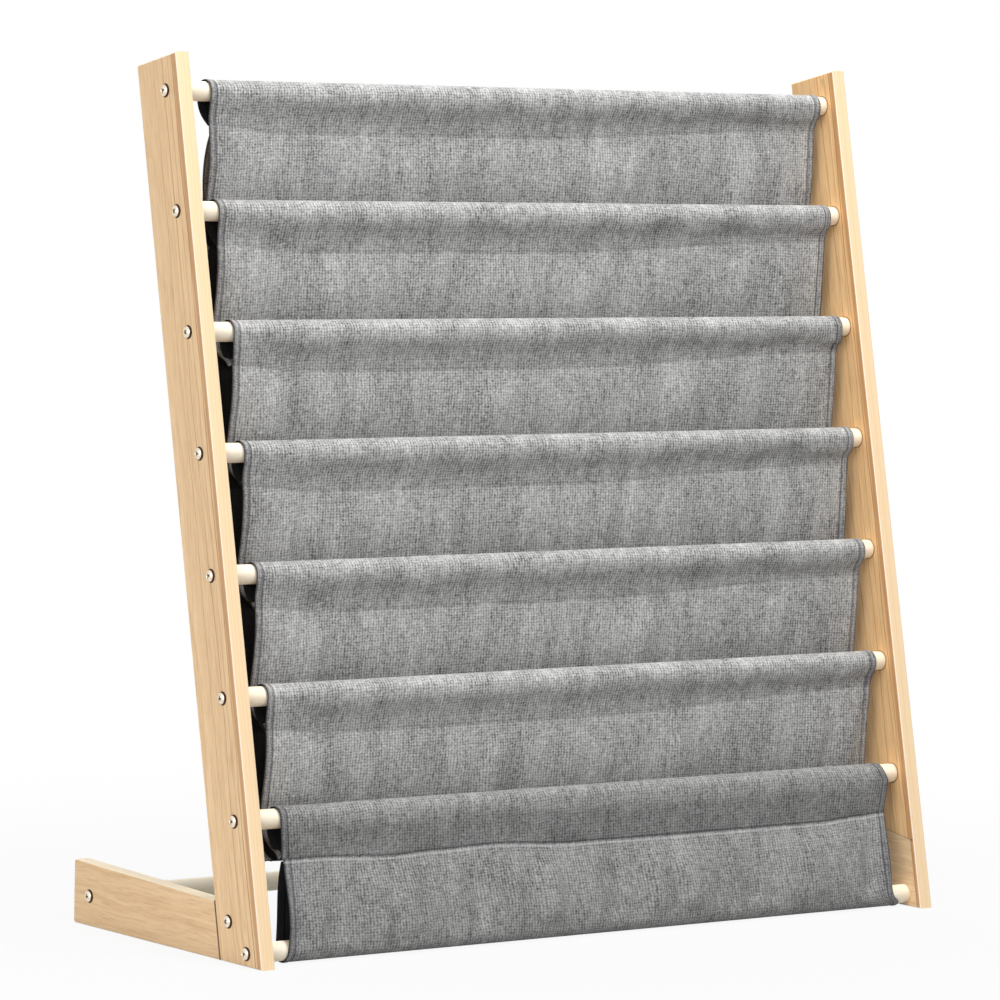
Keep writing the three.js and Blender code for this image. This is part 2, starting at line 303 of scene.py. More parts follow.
# A plain finish of two tones in small clouds
def cloudFinish(name, scale, detail, tones, roughness):
    f = Finish(name)
    cloud = f.noise(f.mapping(f.place(), scale=(scale, scale, scale)), detail)
    colour = f.mix(cloud, *(paint(*tone) for tone in tones))
    f.surface({"Base Color": colour, "Roughness": roughness})
    f.bump(cloud, 0.0001, 0.5)
    return f.look


pine = {
    "early": (250, 216, 172),
    "late": (232, 190, 140),
    "line": (164, 108, 62),
    "face": (252, 226, 186),        # the narrow front and top faces, cut across the rings, painted paler too as light from the front
    # painted highlight along the rounded arrises, where they face the light
    "arrisHighlight": (255, 250, 232),
    "strip": (190, 136, 88),        # the darker strip behind a front edge
    # dark joint lines, and the painted shadow round the dowels' ends
    "joint": (92, 56, 34),
    "inner": (1.04, 0.95, 0.80),    # painted light and shade on the inner faces: a warmer tone, lifted in red where the cloth shades them
    # the rail feet's narrow faces, near white: the paler cut and painted light from above on the top
    "topFaceLit": (255, 238, 206),
    "dowelRing": 0.0115,            # the shadowed edge round a dowel's end on the inner face
    "ringSpacing": 0.0120,
    "lineSpacing": 0.0085,
    "ringShare": 0.60,
    "lineShare": 0.42,
    "roughness": 0.52,
    "stripReach": (0.0058, 0.0098),
    "grainLines": ((0.0105, 0.75), (0.0172, 0.34), (0.0290, 0.50), (0.047, 0.30)),  # (across, share)
}

# Noise scales through the thickness, across the width and along the grain, and how far rings stray
grain = {
    "wander": (9, 15, 2.6),
    "waver": (40, 60, 17),
    "fade": (20, 20, 3.2),
    "fibre": (620, 620, 34),
    "tone": (10, 16, 1.1),
    "tilt": 0.35,
    "wanderReach": 0.085,
    "waverReach": 0.0030,
}

lap = {                     # the half lap of a rail foot, as in the CAD part
    "lip": 0.006,
    "width": 0.079,
    "frontHeight": 0.079,
    "rearHeight": 0.091,
    "line": 0.0010,
    "soft": 0.0006,
}

leanAngle = math.radians(11.7)
boardFrontY = -0.191                # where the uprights' front edge meets the floor
outerX = 0.475


# Y and Z of the axis of a round part that lies along X
def axisOf(node):
    low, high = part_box(node)
    return (low.y + high.y) / 2, (low.z + high.z) / 2


# Board coordinates: through the thickness, across the width and along the grain
def boardPlace(f, turn, shift):
    moved = f.node("ShaderNodeVectorMath", {0: f.place(), 1: shift}, operation="SUBTRACT").outputs[0]
    thick = f.dot(moved, (1, 0, 0))
    across = f.dot(moved, (0, math.cos(turn), -math.sin(turn)))
    along = f.dot(moved, (0, math.sin(turn), math.cos(turn)))
    return thick, across, along


def woodGrain(f, thick, across, along, seed, look, fleck=1.0):
    def cloud(name, shift, detail, rough=0.5):
        x, y, z = (f.times(axis, scale) for axis, scale in zip((thick, across, along), grain[name]))
        return f.noise(f.join(x, y, f.add(z, shift)), detail, rough)

    wander = f.times(cloud("wander", seed, 3.0), grain["wanderReach"])
    waver = f.times(cloud("waver", seed, 1.0), grain["waverReach"])
    ringAt = f.add(across, f.times(thick, grain["tilt"]), wander, waver)
    rings = f.lineNoise(f.add(f.times(ringAt, 1 / look["ringSpacing"]), seed), 2.5, 0.55)
    late = f.stretch(rings, 0.40, 0.72, 0.0, look["ringShare"])
    colour = f.mix(late, paint(*look["early"]), paint(*look["late"]))
    fine = f.lineNoise(f.add(f.times(ringAt, 1 / look["lineSpacing"]), seed * 3.1), 4.0, 0.72)
    fade = cloud("fade", seed * 1.7, 2.0)
    lines = f.times(f.stretch(fine, 0.62, 0.70), f.stretch(fade, 0.42, 0.60))
    colour = f.tint(colour, lines, look["lineShare"], look["line"])
    fibre = cloud("fibre", 0.0, 3.0, 0.62)
    colour = f.mix(f.stretch(fibre, 0.46, 0.70, 0.0, 0.27 * fleck), colour, paint(*look["line"]))
    shade = f.stretch(cloud("tone", seed, 2.0), 0.3, 0.7, 0.95, 1.05)
    return f.shaded(colour, shade), fibre, rings


def finishWood(f, colour, fibre, rings, roughness):
    rough = f.stretch(fibre, 0.2, 0.8, roughness - 0.05, roughness + 0.10)
    f.surface({"Base Color": colour, "Roughness": rough, "Specular IOR Level": 0.30})
    f.bump(f.add(f.times(fibre, 0.6), f.times(rings, -0.5)), 0.00012, 0.6)
    return f.look


# How far a board's surface looks sideways: 1 on its broad faces, 0 on the narrow ones
def sideways(f, direction=1.0):
    return f.dot(f.node("ShaderNodeNewGeometry").outputs["Normal"], (direction, 0, 0))


# A share for a board's narrow faces and one for the rounded arrises beside them, where a painted highlight
# goes
def narrowFaces(f):
    broad = f.math("ABSOLUTE", sideways(f))
    return f.stretch(broad, 0.35, 0.80, 1.0, 0.0, True), f.line(broad, 0.62, 0.44, 0.16)


# The tongue's edges on a board's inner face, where the rail foot is let in
def lapLine(f, across, side):
    height = f.dot(f.place(), (0, 0, 1))
    top = f.stretch(across, lap["lip"], lap["width"], lap["frontHeight"], lap["rearHeight"])
    edge = f.line(f.math("SUBTRACT", height, top), 0.0, lap["line"], lap["soft"])
    front = f.line(across, lap["lip"], lap["line"], lap["soft"])
    below = f.stretch(height, lap["frontHeight"], lap["frontHeight"] + 0.001, 1.0, 0.0)
    inside = f.stretch(sideways(f, -side), 0.75, 0.9)
    return f.times(f.math("MAXIMUM", edge, f.times(front, below)), inside)


# Thin rings of painted shadow where the dowels' ends meet a board's inner face
def dowelEndShadows(f):
    flat = f.mapping(f.place(), scale=(0, 1, 1))
    nearest = 1.0
    for n in range(1, 9):
        inputs = {0: flat, 1: (0, *axisOf(f"dowel_{n}"))}
        away = f.node("ShaderNodeVectorMath", inputs, operation="DISTANCE").outputs["Value"]
        nearest = f.math("MINIMUM", away, nearest)
    return f.line(nearest, pine["dowelRing"], 0.0009, 0.0006)


def uprightFinish(side, seed):
    f = Finish(f"pineUpright{side.title()}")
    outward = -1 if side == "left" else 1
    thick, across, along = boardPlace(f, leanAngle, (0, boardFrontY, 0))
    colour, fibre, rings = woodGrain(f, thick, across, along, seed, pine)
    waver = f.times(f.math("SUBTRACT", f.noise(f.join(seed, 0.0, f.times(along, 5.0)), 3.0), 0.5), 0.006)
    strip = f.stretch(f.add(across, waver), *pine["stripReach"], 1, 0, True)
    colour = f.tint(colour, strip, 0.66, pine["strip"])
    for middle, share in pine["grainLines"]:
        drift = f.noise(f.join(seed + middle * 90, 0.0, f.times(along, 3.4)), 2.5, 0.5)
        drift = f.times(f.math("SUBTRACT", drift, 0.5), 0.018)
        thin = f.line(f.add(across, drift), middle, 0.0006, 0.0008)
        lineFadeAndRimShade = f.stretch(f.noise(f.join(0.0, middle * 70, f.times(along, 7.0)), 2.0), 0.24, 0.48)
        colour = f.tint(colour, f.times(thin, lineFadeAndRimShade), share, pine["line"])
    # painted light and shade: the inner faces get a warmer, red-lifted multiply
    inner = f.stretch(sideways(f, -outward), 0.7, 0.95)
    colour = f.mix(inner, colour, pine["inner"] + (1,), "MULTIPLY")
    # painted shadow round each dowel's end on the inner face
    colour = f.tint(colour, f.times(dowelEndShadows(f), inner), 0.6, pine["joint"])
    colour = f.tint(colour, lapLine(f, across, outward), 0.8, pine["joint"])
    narrow, arrisHighlight = narrowFaces(f)
    # the narrow faces are paler: partly their own cut, partly painted light from the front
    pale = f.mix(0.80, colour, paint(*pine["face"]))
    sway = f.times(f.noise(f.join(0.0, seed, f.times(along, 3.0)), 2.0), 3.0)
    figure = f.lineNoise(f.add(f.times(thick, 260), sway), 2.0)
    pale = f.mix(f.stretch(figure, 0.50, 0.72, 0.0, 0.30), pale, paint(*pine["late"]))
    colour = f.mix(narrow, colour, pale)
    # a painted highlight along the rounded arrises
    colour = f.tint(colour, arrisHighlight, 0.75, pine["arrisHighlight"])
    return finishWood(f, colour, fibre, rings, pine["roughness"])


def footFinish(side, seed):
    f = Finish(f"pineFoot{side.title()}")
    thick, across, along = boardPlace(f, math.radians(90), (0, 0, 0))
    colour, fibre, rings = woodGrain(f, thick, across, along, seed, pine)
    narrow, arrisHighlight = narrowFaces(f)
    # painted light from above: the foot's narrow faces near white
    colour = f.tint(colour, narrow, 0.93, pine["topFaceLit"])
    # a painted highlight along the foot's rounded arrises
    colour = f.tint(colour, arrisHighlight, 0.65, pine["arrisHighlight"])
    behind = boardPlace(f, leanAngle, (0, boardFrontY, 0))[1]
    joint = f.line(behind, lap["width"] + 0.0006, lap["line"], 0.0008)
    colour = f.tint(colour, joint, 0.85, pine["joint"])
    return finishWood(f, colour, fibre, rings, pine["roughness"])


for side, seed in (("left", 3.7), ("right", 11.2)):
    nodes[f"upright_{side}"].material_slots[0].material = uprightFinish(side, seed)
    nodes[f"foot_{side}"].material_slots[0].material = footFinish(side, seed + 40)
print("boards: pine grain")


dowel = {
    "sides": 48,
    "steps": 24,
    "easedEnd": 0.0006,
    "early": (255, 246, 226),
    "late": (255, 236, 206),
    "line": (238, 204, 164),
    "ringSpacing": 0.0070,
    "lineSpacing": 0.0050,
    "ringShare": 0.55,
    "lineShare": 0.22,
    "roughness": 0.46,
}

dowelNodes = [f"dowel_{n}" for n in range(1, 9)] + ["rear_stretcher"]


def dowelFinish(node, number):
    f = Finish("dowelWood" + node.title().replace("_", ""))
    y, z = axisOf(node)
    moved = f.mapping(f.place(), shift=(0, -y, -z))
    turn = 1.3 * number
    thick = f.dot(moved, (0, math.cos(turn), math.sin(turn)))
    across = f.dot(moved, (0, -math.sin(turn), math.cos(turn)))
    along = f.dot(moved, (1, 0, 0))
    colour, fibre, rings = woodGrain(f, thick, across, along, 5.3 * number, dowel, 0.35)
    return finishWood(f, colour, fibre, rings, dowel["roughness"])


def makeDowel(node, look):
    low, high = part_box(node)
    y, z = axisOf(node)
    radius, eased = (high.z - low.z) / 2, dowel["easedEnd"]
    ends = [(0.0, radius - eased), (eased * 0.3, radius - eased * 0.3), (eased, radius)]
    stations = [(low.x + inward, r) for inward, r in ends]
    span = high.x - low.x
    stations += [(low.x + span * n / dowel["steps"], radius) for n in range(1, dowel["steps"])]
    stations += [(high.x - inward, r) for inward, r in reversed(ends)]
    points, faces = [], []
    sides = dowel["sides"]
    for x, r in stations:
        for n in range(sides):
            angle = 2 * math.pi * n / sides
            points.append((x, y + r * math.cos(angle), z + r * math.sin(angle)))
    for ring in range(len(stations) - 1):
        for n in range(sides):
            a, b = ring * sides + n, ring * sides + (n + 1) % sides
            faces.append((a, b, b + sides, a + sides))
    faces.append(tuple(reversed(range(sides))))
    faces.append(tuple(range((len(stations) - 1) * sides, len(stations) * sides)))
    mesh = meshFrom(node, points, faces)
    shadeSmooth(mesh, 50)
    mesh.materials.append(look)
    name = "stretcherDowel" if node == "rear_stretcher" else "round" + node.title().replace("_", "")
    piece = addObject(name, mesh)
    rideRoot(piece)
    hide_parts(node)


for number, node in enumerate(dowelNodes):
    makeDowel(node, dowelFinish(node, number + 1))
print("dowels:", len(dowelNodes))


screw = {
    "headRadius": 0.0070,
    "rim": 0.0017,
    "edge": 0.0003,             # the rounding at the foot of the rim
    "crown": 0.0041,
    "sides": 40,
    "crownSteps": 9,
    "shankRadius": 0.0029,
    "shankShown": 0.010,
    "recessReach": 0.0036,
    "recessWidth": 0.0026,
    "recessDepth": 0.0030,
    "rimShadowRadius": 0.0061,      # outside this radius the head is painted dark, a painted shadow outline round its rim
    "seatDepth": 0.0012,        # of the drilled seat that the head sits in
    "boreRadius": 0.00788,      # outer edge of a dark ring in the seat round the head, a painted shadow
    "smoothUnder": 38,
}


# A form turned about Z from its radius and height at each station
def turned(name, profile, sides):
    points, faces, rows = [], [], []
    for r, z in profile:
        if r == 0.0:
            rows.append([len(points)] * sides)
            points.append((0, 0, z))
        else:
            rows.append(list(range(len(points), len(points) + sides)))
            angles = [2 * math.pi * n / sides for n in range(sides)]
            points += [(r * math.cos(angle), r * math.sin(angle), z) for angle in angles]
    for lower, upper in zip(rows, rows[1:]):
        for n in range(sides):
            m = (n + 1) % sides
            faces.append(tuple(dict.fromkeys([lower[n], lower[m], upper[m], upper[n]])))
    return meshFrom(name, points, faces)


# One tapered slot of the cross recess
def slotCutter(quarter, top):
    points = []
    for z, reach, width in ((top - screw["recessDepth"], 0.5, 0.5), (top + 0.001, 1.15, 1.1)):
        for sx, sy in ((-1, -1), (1, -1), (1, 1), (-1, 1)):
            x, y = sx * screw["recessReach"] * reach, sy * screw["recessWidth"] / 2 * width
            corner = Matrix.Rotation(quarter, 3, "Z") @ Vector((x, y, z))
            points.append(corner)
    faces = [(3, 2, 1, 0), (4, 5, 6, 7), (0, 1, 5, 4), (1, 2, 6, 5), (2, 3, 7, 6), (3, 0, 4, 7)]
    return addObject("recess", meshFrom("recess", points, faces))


# One screw along +Z, its seat at Z = 0 and its domed head above
def screwShape():
    radius, shank, rim, edge = (screw[key] for key in ("headRadius", "shankRadius", "rim", "edge"))
    profile = [(0.0, -screw["shankShown"]), (shank, -screw["shankShown"]), (shank, 0.0)]
    profile += [(radius - edge, 0.0), (radius, edge), (radius, rim)]
    for n in range(1, screw["crownSteps"] + 1):
        turn = n / screw["crownSteps"] * math.pi / 2
        reach = radius * math.cos(turn) if n < screw["crownSteps"] else 0.0
        profile.append((reach, rim + screw["crown"] * math.sin(turn)))
    head = addObject("screwShape", turned("screwShape", profile, screw["sides"]))
    cutters = [slotCutter(quarter, rim + screw["crown"]) for quarter in (0, math.pi / 2)]
    for cutter in cutters:
        cut = head.modifiers.new("recess", "BOOLEAN")
        cut.operation = "DIFFERENCE"
        cut.object = cutter
        cut.solver = "EXACT"
    graph = bpy.context.evaluated_depsgraph_get()
    mesh = bpy.data.meshes.new_from_object(head.evaluated_get(graph))
    for thing in cutters + [head]:
        bpy.data.objects.remove(thing)
    # painted shade: the cross recess is dark, and the head darkens towards its rim as a painted shadow
    # outline
    dark = mesh.attributes.new("dark", "FLOAT", "POINT")
    for vertex in mesh.vertices:
        away = math.hypot(vertex.co.x, vertex.co.y)
        dome = rim + screw["crown"] * math.sqrt(max(0.0, 1 - (away / radius) ** 2))
        sunk = away < screw["recessReach"] * 1.1 and vertex.co.z < dome - edge
        lineFadeAndRimShade = (away - screw["rimShadowRadius"]) / (radius - screw["rimShadowRadius"]) * 1.3
        dark.data[vertex.index].value = 1.0 if sunk else min(1.0, max(0.0, lineFadeAndRimShade))
    shadeSmooth(mesh, screw["smoothUnder"])
    return mesh


# A dark ring in the drilled seat round the head, a painted shadow that dips from the board's face towards the
# head
def boreShape():
    inner, outer, top = screw["headRadius"] + 0.0001, screw["boreRadius"], screw["seatDepth"] - 0.00003
    profile = [(inner, 0.0002), (outer, 0.0002), (outer, top), (inner, top - 0.0003), (inner, 0.0002)]
    return turned("boreShape", profile, screw["sides"])


def screwFinish():
    f = Finish("screwSteel")
    cloud = f.noise(f.mapping(f.place(), scale=(700, 700, 700)), 3.0)
    colour = f.mix(f.stretch(cloud, 0.35, 0.7), paint(250, 238, 218), paint(224, 206, 182))
    # the dark attribute carries painted shade: the recess and the shadow outline round the head
    dark = f.node("ShaderNodeAttribute", attribute_name="dark").outputs["Fac"]
    dark = f.stretch(dark, 0.15, 0.75, smooth=True)
    f.surface({
        "Base Color": f.mix(dark, colour, paint(58, 38, 26)),
        "Metallic": f.stretch(dark, 0.0, 1.0, 0.70, 0.10),
        "Roughness": f.add(f.stretch(cloud, 0.3, 0.8, 0.26, 0.40), f.times(dark, 0.3)),
    })
    f.bump(cloud, 0.00008, 0.5)
    return f.look


# A Geometry Nodes tree, its input node, and its number inputs' values by their identifiers
def geometryTree(name, numbers):
    tree = bpy.data.node_groups.new(name, "GeometryNodeTree")
    face = tree.interface
    face.new_socket("Geometry", in_out="INPUT", socket_type="NodeSocketGeometry")
    inputs = {}
    for label, value in numbers.items():
        socket = face.new_socket(label, in_out="INPUT", socket_type="NodeSocketFloat")
        socket.default_value = value
        inputs[socket.identifier] = value
    face.new_socket("Geometry", in_out="OUTPUT", socket_type="NodeSocketGeometry")
    return tree, addNode(tree, "NodeGroupInput").outputs, inputs


# Ends a tree: a shape at every place, made plain mesh, smooth and given its material
def endTree(tree, look, places):
    put = addNode(tree, "GeometryNodeInstanceOnPoints", places)
    real = addNode(tree, "GeometryNodeRealizeInstances", {0: put.outputs["Instances"]})
    smooth = addNode(tree, "GeometryNodeSetShadeSmooth", {0: real.outputs[0]})
    setLook = addNode(tree, "GeometryNodeSetMaterial", {"Geometry": smooth.outputs[0], "Material": look})
    addNode(tree, "NodeGroupOutput", {0: setLook.outputs[0]})


# Puts one shape on every point, turned by the point's own angles
def treeOnPoints(name, shape, look):
    tree, given, inputs = geometryTree(name, {"Head size": 1.0})
    source = addNode(tree, "GeometryNodeObjectInfo", {"Object": shape})
    angles = addNode(tree, "GeometryNodeInputNamedAttribute", {"Name": "turn"}, data_type="FLOAT_VECTOR")
    endTree(tree, look, {
        "Points": given["Geometry"],
        "Instance": source.outputs["Geometry"],
        "Rotation": angles.outputs["Attribute"],
        "Scale": given["Head size"],
    })
    return tree, inputs


# Runs a Geometry Nodes tree on an object and keeps the plain mesh
def applyTree(piece, tree, inputs):
    modifier = piece.modifiers.new("build", "NODES")
    modifier.node_group = tree
    for identifier, value in inputs.items():
        modifier[identifier] = value
    graph = bpy.context.evaluated_depsgraph_get()
    mesh = bpy.data.meshes.new_from_object(piece.evaluated_get(graph))
    piece.modifiers.remove(modifier)
    old = piece.data
    piece.data = mesh
    bpy.data.meshes.remove(old)
    return mesh


# One layer of all a side's screws: their heads, or the painted shadow rings in their drilled seats
def screwLayer(name, points, turns, tree):
    mesh = meshFrom(name, points, [])
    attribute = mesh.attributes.new("turn", "FLOAT_VECTOR", "POINT")
    for n, angles in enumerate(turns):
        attribute.data[n].vector = angles
    piece = addObject(name, mesh)
    shadeSmooth(applyTree(piece, *tree), screw["smoothUnder"])
    rideRoot(piece)
    return piece


def makeScrews():
    random = np.random.default_rng(11)
    head = bpy.data.objects.new("screwPattern", screwShape())
    bore = bpy.data.objects.new("borePattern", boreShape())
    # dark brown for the painted shadow in the seats round the heads
    seatShadowLook = cloudFinish("seatShadow", 900, 2.0, ((52, 32, 20), (84, 54, 34)), 0.8)
    headTree = treeOnPoints("screwsOnPoints", head, screwFinish())
    boreTree = treeOnPoints("boresOnPoints", bore, seatShadowLook)
    for side, outward in (("left", -1), ("right", 1)):
        names = [f"screw_{side}_{n}" for n in range(1, 9)]
        names += [f"stretcher_screw_{side}", f"joint_screw_{side}"]
        seat = (outerX - screw["seatDepth"]) * outward
        points = [(seat, *axisOf(name)) for name in names]
        turns = []
        for _ in names:
            # spin about the screw's own axis first, then lay it along X
            spin = Matrix.Rotation(random.uniform(0, math.pi / 2), 3, "Z")
            turns.append((Matrix.Rotation(outward * math.pi / 2, 3, "Y") @ spin).to_euler("XYZ"))
        heads = screwLayer(f"screwHeads{side.title()}", points, turns, headTree)
        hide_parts(*names)
        screwLayer(f"drilledSeats{side.title()}", points, turns, boreTree)
    for thing in (head, bore):
        bpy.data.objects.remove(thing)


makeScrews()
print("screws: heads and drilled seats on both sides")


cloth = {
    # where each row's cloth ends across the shelf, from the top row down
    "rowEdges": [(-0.4245, 0.4450), (-0.4285, 0.4430), (-0.4240, 0.4430), (-0.4250, 0.4420),
                 (-0.4240, 0.4420), (-0.4250, 0.4410), (-0.4230, 0.4410)],
    "thickness": 0.0008,
    "sleeveRadius": 0.0124,             # the middle of the cloth round a dowel
    "plyGap": 0.0006,
    "endFlare": 0.0007,                 # how far a sleeve's left end stands off its dowel
    "flareReach": 0.008,
    "seamDrop": 0.0460,
    "leftRise": 0.0090,                 # how much higher a seam lies at its two ends
    "rightRise": 0.0150,
    "leftForward": 0.0100,              # how far the left end hangs forward of the middle
    "leftReach": 0.110,
    "lowestForward": 0.0137,
    "lowestDrop": 0.0432,
    # how far the lowest seam sags below a straight line: (x, sag)
    "lowestSag": (
        (-0.423, 0.0), (-0.379, 0.0), (-0.277, 0.0042), (-0.208, 0.0022), (-0.138, 0.0006), (-0.027, 0.0060),
        (0.100, 0.0066), (0.300, 0.0064), (0.345, 0.0058), (0.402, 0.0026), (0.441, 0.0),
    ),
    "panelBack": 0.0045,
    "slack": 0.031,
    "foldBack": 0.30,                   # the share of a fold that may lie behind the panel
    "backEdges": (-0.4260, 0.4400),
    "looseEnds": (0.0, 0.022, 0.028, 0.028, 0.028, 0.028, 0.014),      # at the back layer's left end
    "looseReach": 0.055,
    # the spacing of the mesh's rows
    "grid": 0.0032,
    "overGrid": 0.0028,
    "frontGrid": 0.0026,
    "tuckGrid": 0.0012,
    "backGrid": 0.0060,
    "hemWidth": 0.0092,
    "hemDepth": 0.0009,
    "hemStitch": 0.0080,                # from the edge to the hem's stitches
    "hemRoll": 0.00045,
    "hemGroove": 0.00060,
}

dowelAt = [Vector(axisOf(f"dowel_{n}")) for n in range(1, 9)]       # (y, z) from the top down


def ease(value, low, high):
    t = np.clip((value - low) / (high - low), 0, 1)
    return t * t * (3 - 2 * t)


def leftness(x):
    return 1 - ease(x, cloth["rowEdges"][0][0], cloth["rowEdges"][0][0] + cloth["leftReach"])


def lowestSag(x):
    marks = cloth["lowestSag"]
    sag = marks[0][1] + 0 * x
    for (start, before), (end, after) in zip(marks, marks[1:]):
        sag = sag + (after - before) * ease(x, start, end)
    return sag


# The seam under a dowel at each place across: (y, z) for every x
def seamAt(index, x):
    centre = dowelAt[index]
    if index == 6:
        return spot(x, centre.x - cloth["lowestForward"], centre.y - cloth["lowestDrop"] - lowestSag(x))
    rise = cloth["leftRise"] * leftness(x) + cloth["rightRise"] * ease(x, 0.0, 0.44)
    y = centre.x - 0.0008 - cloth["leftForward"] * leftness(x)
    return spot(x, y, centre.y - cloth["seamDrop"] + rise)


def spot(x, y, z):
    return np.stack([y + 0 * x, z + 0 * x], -1)


# A smooth curve drawn by its control points, one for every place across
def bezier(points, steps=40):
    t = np.linspace(0, 1, steps)[:, None, None]
    layer = [np.repeat(point[None], steps, 0) for point in points]
    while len(layer) > 1:
        layer = [a * (1 - t) + b * t for a, b in zip(layer, layer[1:])]
    return layer[0]


def arc(centre, radius, fromDegrees, toDegrees, steps=40):
    angles = np.radians(np.linspace(fromDegrees, toDegrees, steps))[:, None]
    return np.stack([centre.x + radius * np.cos(angles), centre.y + radius * np.sin(angles)], -1)


def evenRows(part, count):
    step = np.linalg.norm(np.diff(part, axis=0), axis=2)
    run = np.concatenate([np.zeros((1, part.shape[1])), np.cumsum(step, 0)])
    rows = np.empty((count, part.shape[1], 2))
    for column in range(part.shape[1]):
        at = np.linspace(0, run[-1, column], count)
        for axis in (0, 1):
            rows[:, column, axis] = np.interp(at, run[:, column], part[:, column, axis])
    return rows


# Joins named parts of a cloth's line into rows. Each part is (name, curve, length of one row).
def joinParts(parts):
    rows, share, names = [], [], []
    for name, part, step in parts:
        length = np.linalg.norm(np.diff(part, axis=0), axis=2).sum(0).mean()
        count = max(3, int(round(length / step)) + 1)
        skip = 1 if rows else 0
        rows.append(evenRows(part, count)[skip:])
        share += list(np.linspace(0, 1, count)[skip:])
        names += [name] * (count - skip)
    line = np.concatenate(rows)
    step = np.linalg.norm(np.diff(line, axis=0), axis=2)
    along = np.concatenate([np.zeros((1, line.shape[1])), np.cumsum(step, 0)])
    tangent = np.gradient(line, axis=0)
    tangent /= np.linalg.norm(tangent, axis=2)[..., None]
    normal = np.stack([tangent[..., 1], -tangent[..., 0]], -1)      # faces out over a dowel
    return {"line": line, "normal": normal, "along": along, "share": np.array(share)[:, None],
            "names": np.array(names), "length": float(along[-1].mean())}


# 1 on the rows of one part, easing in after its start and out before its end where that is asked
def onPart(shape, name, rise=None, fall=None):
    mask = (shape["names"] == name)[:, None].astype(float)
    if rise:
        mask = mask * ease(shape["share"], *rise)
    if fall:
        mask = mask * (1 - ease(shape["share"], *fall))
    return mask


# Highest in the middle of one part, and 0 at its ends
def arched(shape, name):
    return onPart(shape, name) * np.sin(math.pi * shape["share"])


def lastRow(shape, name):
    return int(np.nonzero(shape["names"] == name)[0][-1])


# How far along the cloth each point lies from the end of one part
def fromEnd(shape, name):
    return np.abs(shape["along"] - shape["along"][lastRow(shape, name)])


# A smooth random height over (x, s). Each wave is (count, shortest, longest, slant, height).
def ripples(seed, waves):
    random = np.random.default_rng(seed)
    terms = []
    for count, shortest, longest, slant, height in waves:
        for _ in range(count):
            turn = 2 * math.pi / random.uniform(shortest, longest)
            lean, phase = random.uniform(-slant, slant), random.uniform(0, 2 * math.pi)
            terms.append((turn, turn * lean, phase, height * random.uniform(0.6, 1.0) / math.sqrt(count)))

    def height(x, s):
        total = np.zeros(np.broadcast(x, s).shape)
        for kx, ks, phase, size in terms:
            total = total + size * np.cos(kx * x + ks * s + phase)
        return total

    return height


# Places across with the folded hems: (x, distance along the cloth, depth behind the face)
def columnsAcross(left, right, foldSign):
    near = [0.0, 0.0008, 0.0022, 0.0040, 0.0058, 0.0072, 0.0080, 0.0086, 0.0094, 0.0106, 0.0125, 0.0150]
    inset = 0.018
    count = int(round((right - left - 2 * inset) / cloth["grid"]))
    middle = list(np.linspace(left + inset, right - inset, count))
    xs = [left + d for d in near] + middle + [right - d for d in reversed(near)]
    front = [(x, x - left, 0.0) for x in xs]
    back = [(0.0003, 0.5), (0.0012, 0.95), (0.0040, 1.0), (0.0070, 1.0), (cloth["hemWidth"], 1.0)]
    deep = foldSign * cloth["hemDepth"]
    leftFold = [(left + d, -d, deep * share) for d, share in reversed(back)]
    rightFold = [(right - d, (right - left) + d, deep * share) for d, share in back]
    return np.array(leftFold + front + rightFold), len(back)


# The hem stands a little proud and its stitch line sinks in
def hemRelief(fromEdge):
    line = cloth["hemStitch"]
    roll = cloth["hemRoll"] * ease(fromEdge, 0.0, 0.002) * (1 - ease(fromEdge, 0.0068, line))
    return roll - cloth["hemGroove"] * np.exp(-(((fromEdge - line) / 0.0008) ** 2))


# The cloth's thread and seam coordinates go into two UV maps, in metres
def clothMesh(name, columns, folds, points, along, seamGap):
    rows, across = points.shape[:2]
    index = np.arange(rows * across).reshape(rows, across)
    faces = np.stack([index[:-1, :-1], index[1:, :-1], index[1:, 1:], index[:-1, 1:]], -1).reshape(-1, 4)
    mesh = meshFrom(name, points.reshape(-1, 3).tolist(), faces.tolist())
    u = np.broadcast_to(columns[:, 1], (rows, across))
    fromHem = np.minimum(u, columns[-folds - 1, 1] - u)
    corner = faces.reshape(-1)
    for label, first, second in (("weave", u, along), ("seams", fromHem, seamGap)):
        uv = np.stack([first.reshape(-1)[corner], second.reshape(-1)[corner]], 1).reshape(-1)
        mesh.uv_layers.new(name=label).data.foreach_set("uv", uv.astype(np.float32))
    # the turned-in hem faces take the second material, the inner face's painted shade
    column = np.tile(np.arange(across - 1), rows - 1)
    turnedIn = (column < folds) | (column >= across - 1 - folds)
    mesh.polygons.foreach_set("material_index", turnedIn.astype(np.int32))
    shadeSmooth(mesh)
    mesh.update()
    return mesh


weave = {
    "pitch": (0.00184, 0.00158),        # from thread to thread across and along
    "wander": 1.6,                      # in threads
    "threadStep": 7.31,                 # how far apart in the noise two neighbouring threads lie
    "pairStep": 5.17,
    "dark": (70, 70, 71),
    "light": (228, 228, 226),
    "warpShare": 0.25,
    "weftShare": 0.13,
    "gapShare": (0.25, 0.15),
    "speckShare": 0.10,
    "crossShare": 0.27,                 # each crossing's own tone
    "streakShare": 0.17,
    # painted shade in the band under a dowel, above its seam
    "bandShadeShare": 0.21,
    "panelShare": 0.03,
    "lowerShare": 0.06,
    "hem": (0.30, (92, 91, 98)),
    # painted shade: a dark line in the hem's stitch groove, and a dark rim along the folded edge
    "grooveShade": (0.62, (52, 52, 58)),
    "rim": (0.80, (42, 42, 46)),
    "roughness": 0.92,
    "relief": 0.00022,
}


